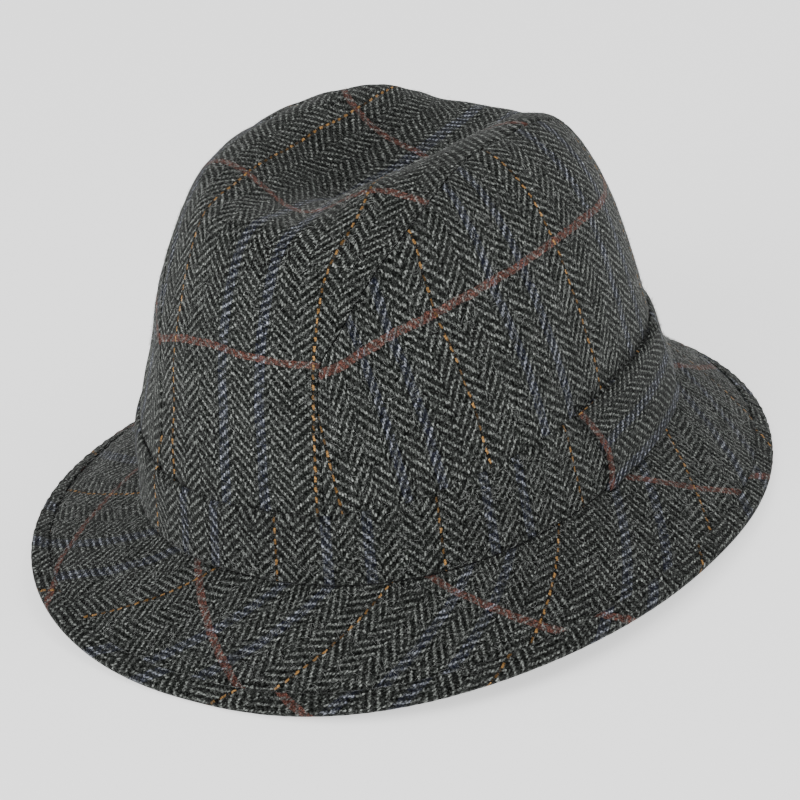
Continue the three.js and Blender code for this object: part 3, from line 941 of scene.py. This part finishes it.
def yarn_colours(cloth, weave, noises):
    """Colour of the yarn on top, lighter and darker by its noises."""
    end, pick, salt, speck = weave["end"], weave["pick"], noises["salt"], noises["speck"]
    amber, slate, rust = check_lines(end, pick)
    chance = cloth.chance(end, pick, CHANCE_LAYER)
    dot = cloth.chance(end, ((weave["along"] + 1) / REPEAT_PICKS).floor(), DOT_LAYER)
    values = dict(noises, chance=chance, dot=dot, slate=slate)
    warp = cloth.mix(scaled(slate, SLATE_SHARE, values), PALE_YARN, SLATE_YARN)
    warp = cloth.mix(amber, warp, AMBER_YARN)
    warp_light = scaled(1, PALE_LIGHT, values) * (1 - amber) + scaled(amber, AMBER_LIGHT, values)
    grain = noises["grain"].between(*DARK_LIGHT["grain"])
    dark_light = DARK_LIGHT["least"] + DARK_LIGHT["adds"] * speck * speck * grain
    dark = cloth.mix(slate * NAVY_SHARE * chance, cloth.shaded(DARK_YARN, dark_light), NAVY_YARN)
    rusty = cloth.shaded(RUST_YARN, scaled(1, RUST_LIGHT, values))
    weft = cloth.mix(scaled(rust, RUST_SHARE, values), dark, rusty)
    colour = cloth.mix(warp_share(weave, amber, salt), weft, cloth.shaded(warp, warp_light))
    fuzz = cloth.shaded(RUST_YARN, scaled(1, RUST_FUZZ_LIGHT, values))
    return cloth.mix(rust * RUST_FUZZ * salt, colour, fuzz)


def tweed(name, tone_and_painted_shade):
    """Herringbone tweed worked out thread by thread: which yarn is on top in each cell of the weave, its
    colour, its round profile for the relief, and the wool's haze and stray fibres over it."""
    cloth = Finish(name)
    u, v = cloth.cloth_place()
    noises = noises_over(cloth, u, v)
    weave = herringbone(u, v, noises)
    colour = yarn_colours(cloth, weave, noises)
    colour = cloth.mix(noises["haze"] * HAZE["adds"] + HAZE["least"], colour, HAZE_COLOUR)
    stray = (1 - (noises["curl"] - 0.5).size().between(*STRAY["width"])) * noises["sparse"]
    colour = cloth.mix(stray * STRAY["cover"], colour, STRAY_COLOUR)
    # Last factor: the cloth's own tone, and for the band, tab, brim and binding painted shade as well
    colour = cloth.shaded(colour, scaled(1, CLOTH_LIGHT, noises) * tone_and_painted_shade)
    height = weave["warp"] * weave["warp_up"] + weave["weft"] * (1 - weave["warp_up"])
    relief = height + noises["grain"] * RELIEF["grain"] + stray * RELIEF["stray"]
    sockets = {"Height": relief, "Distance": RELIEF["depth"], "Strength": 1.0}
    bump = cloth.node("ShaderNodeBump", {}, sockets)
    cloth.tree.links.new(colour, cloth.shader.inputs["Base Color"])
    cloth.tree.links.new(bump.outputs[0], cloth.shader.inputs["Normal"])
    cloth.constant(Roughness=1.0, Specular_IOR_Level=0.03, Sheen_Weight=0.11, Sheen_Roughness=0.35)
    return cloth.material


def finish_piece(piece, material, node):
    piece.data.materials.append(material)
    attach(piece, "root")
    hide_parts(node)


# Stray wool: fibres standing out of the cloth, as joined tubes
FIBRE_POINTS = 5
FIBRE_RADIUS = 0.045
FIBRE_TAPER = 0.7
STANDING = dict(share=0.2, length=(0.7, 1.8), reach=0.5, rise=0.8)
LYING = dict(length=(1.0, 3.6), bow=(0.15, 0.6), sunk=0.05)
FIBRE_WAVE = dict(share=0.14, bends=(2, 6), begins=(0, 6))
WOOL_SHARES = (0.02, 0.98)
WOOL_CROWN = 0.8
WOOL_OFF_BRIM = 0.2


def unit(vectors):
    return vectors / np.linalg.norm(vectors, axis=-1, keepdims=True)


def crown_roots(draw, count):
    """Places and outward directions spread evenly over the crown above the band."""
    spread = np.sqrt(draw.uniform(0, WOOL_CROWN, count))
    turn = draw.uniform(0, 2 * math.pi, count)
    point, normal, _ = disc_frame((spread * np.cos(turn))[:, None], (spread * np.sin(turn))[:, None])
    return point[:, 0], normal[:, 0]


def brim_roots(draw, count):
    turn = draw.uniform(0, 2 * math.pi, count)
    down = brim_line(turn)[2] * draw.uniform(*WOOL_SHARES, count)
    point = brim_point(turn, down, WOOL_OFF_BRIM)
    return point, brim_point(turn, down, WOOL_OFF_BRIM + 1) - point


def band_roots(draw, count):
    turn = draw.uniform(0, 2 * math.pi, count)
    up = draw.uniform(*WOOL_SHARES, count)
    point = band_point(turn, up, GAP + BAND_CLOTH)
    return point, unit(band_point(turn, up, GAP + BAND_CLOTH + 1) - point)


def stray_wool(name, roots, count, seed):
    """Fibres: most lie along the cloth in a slack bow, one in five stands out of it; each waves a little."""
    draw = np.random.default_rng(seed)
    point, normal = roots(draw, count)
    lying = unit(np.cross(normal, draw.normal(size=(count, 3))))
    aside = np.cross(normal, lying)
    s = np.linspace(0, 1, FIBRE_POINTS)[None, :, None]
    one = (count, 1, 1)
    stands = draw.uniform(size=one) < STANDING["share"]
    length = np.where(stands, draw.uniform(*STANDING["length"], one), draw.uniform(*LYING["length"], one))
    reach = np.where(stands, STANDING["reach"], 1.0) * length
    bow = draw.uniform(*LYING["bow"], one) * np.sin(math.pi * s) - LYING["sunk"]
    rise = np.where(stands, STANDING["rise"] * length * s, bow)
    bends = draw.uniform(*FIBRE_WAVE["bends"], one)
    wave = FIBRE_WAVE["share"] * length * np.sin(bends * s + draw.uniform(*FIBRE_WAVE["begins"], one))
    curve = point[:, None] + lying[:, None] * reach * s + normal[:, None] * rise + aside[:, None] * wave
    radius = FIBRE_RADIUS * (1 - FIBRE_TAPER * s ** 3)
    corners = [curve + radius * (normal[:, None] * math.cos(a) + aside[:, None] * math.sin(a))
               for a in (0, 2 * math.pi / 3, 4 * math.pi / 3)]
    places = settled(np.stack(corners, axis=2)).reshape(-1, 3)
    i, k = np.meshgrid(np.arange(FIBRE_POINTS - 1), np.arange(3), indexing="ij")
    near = [3 * i + k, 3 * i + (k + 1) % 3, 3 * i + 3 + (k + 1) % 3, 3 * i + 3 + k]
    tube = np.stack(near, axis=-1).reshape(-1, 4)
    faces = (tube[None] + 3 * FIBRE_POINTS * np.arange(count)[:, None, None]).reshape(-1, 4)
    mesh = bpy.data.meshes.new(name)
    mesh.from_pydata(places, [], faces)
    mesh.polygons.foreach_set("use_smooth", np.ones(len(mesh.polygons), bool))
    return placed(name, mesh)


def finish_wool(fibres, material):
    fibres.data.materials.append(material)
    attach(fibres, "root")


def wool():
    pale = Finish("stray_wool")
    pale.constant(Base_Color=(*WOOL_COLOUR, 1), Roughness=1.0, Specular_IOR_Level=0.05)
    return pale.material


# Stage, light and camera, in metres and watts
FLOOR_HALF = 6.0
LIGHTS = (dict(name="key", azimuth=-5, elevation=36, distance=1.6, size=0.9, power=13),
          dict(name="fill", azimuth=105, elevation=55, distance=1.6, size=0.9, power=7.5))
LIGHTS_AIM = np.array([0, 0, 0.08])
SKY_STRENGTH = 0.75


def stage():
    half = FLOOR_HALF
    corners = [(-half, -half, 0), (half, -half, 0), (half, half, 0), (-half, half, 0)]
    mesh = bpy.data.meshes.new("floor")
    mesh.from_pydata(corners, [], [(0, 1, 2, 3)])
    floor = placed("floor", mesh)
    pale = Finish("pale_floor")
    pale.constant(Base_Color=(0.86, 0.86, 0.86, 1), Roughness=0.9, Specular_IOR_Level=0.1,
                  Emission_Color=(1, 1, 1, 1), Emission_Strength=1.0)
    mesh.materials.append(pale.material)


def seen_from(azimuth, elevation):
    """Right and back of a level picture taken from an azimuth and an elevation in degrees."""
    a, e = math.radians(azimuth), math.radians(elevation)
    right = np.array([math.cos(a), math.sin(a), 0])
    return right, np.array([math.sin(a) * math.cos(e), -math.cos(a) * math.cos(e), math.sin(e)])


def matrix_of(*columns):
    """Matrix whose columns are three axes and a place."""
    matrix = Matrix.Identity(4)
    for column, axis in enumerate(columns):
        for row in range(3):
            matrix[row][column] = axis[row]
    return matrix


def camera_axes():
    """Right, up and back of the picture, turned with the hat as it tips forward."""
    right, back = seen_from(CAMERA["azimuth"], CAMERA["elevation"])
    roll = math.radians(CAMERA["roll"])
    up = np.cross(back, right)
    across = right * math.cos(roll) - up * math.sin(roll)
    upward = right * math.sin(roll) + up * math.cos(roll)
    return tipped(across), tipped(upward), tipped(back)


def set_camera():
    across, upward, back = camera_axes()
    eye = back * CAMERA["distance"] + across * CAMERA["right"] + upward * CAMERA["up"]
    place = (eye + np.array([0, -MIDDLE, REST_HEIGHT])) * MM
    data = bpy.data.cameras.new("camera")
    data.lens = CAMERA["lens"]
    data.clip_end = 50
    camera = placed("camera", data)
    camera.matrix_world = matrix_of(across, upward, back, place)
    bpy.context.scene.camera = camera


def soft_light(name, azimuth, elevation, distance, size, power):
    """Square area light looking at the hat, placed as the camera's azimuth and elevation are."""
    data = bpy.data.lights.new(name, "AREA")
    data.size = size
    data.energy = power
    light = placed(name, data)
    side, back = seen_from(azimuth, elevation)
    light.matrix_world = matrix_of(side, np.cross(back, side), back, back * distance + LIGHTS_AIM)


def set_light():
    world = bpy.data.worlds.new("studio")
    bpy.context.scene.world = world
    world.use_nodes = True
    sky = world.node_tree.nodes["Background"]
    sky.inputs["Color"].default_value = (1, 1, 1, 1)
    sky.inputs["Strength"].default_value = SKY_STRENGTH
    for light in LIGHTS:
        soft_light(**light)


# One tweed in three copies: the crown's factor is the cloth's own tone; the two darker copies add painted
# shade to the band, tab, brim and binding
grey_tweed = tweed("grey_tweed", 0.95)
low_tweed_painted_shade = tweed("low_tweed_painted_shade", 0.85)
edge_tweed_painted_shade = tweed("edge_tweed_painted_shade", 0.82)
finish_piece(crown_centre(), grey_tweed, "crown_centre_panel")
finish_piece(crown_side(1), grey_tweed, "crown_left_panel")
finish_piece(crown_side(-1), grey_tweed, "crown_right_panel")
finish_piece(hatband(), low_tweed_painted_shade, "hatband")
finish_piece(hatband_tab(), low_tweed_painted_shade, "hatband_tab")
finish_piece(brim_cloth(), low_tweed_painted_shade, "brim")
finish_piece(binding_cloth(), edge_tweed_painted_shade, "brim_binding")
pale_wool = wool()
finish_wool(stray_wool("crown_wool", crown_roots, 7500, 3), pale_wool)
finish_wool(stray_wool("brim_wool", brim_roots, 5500, 5), pale_wool)
finish_wool(stray_wool("band_wool", band_roots, 4000, 7), pale_wool)
stage()
set_light()
set_camera()
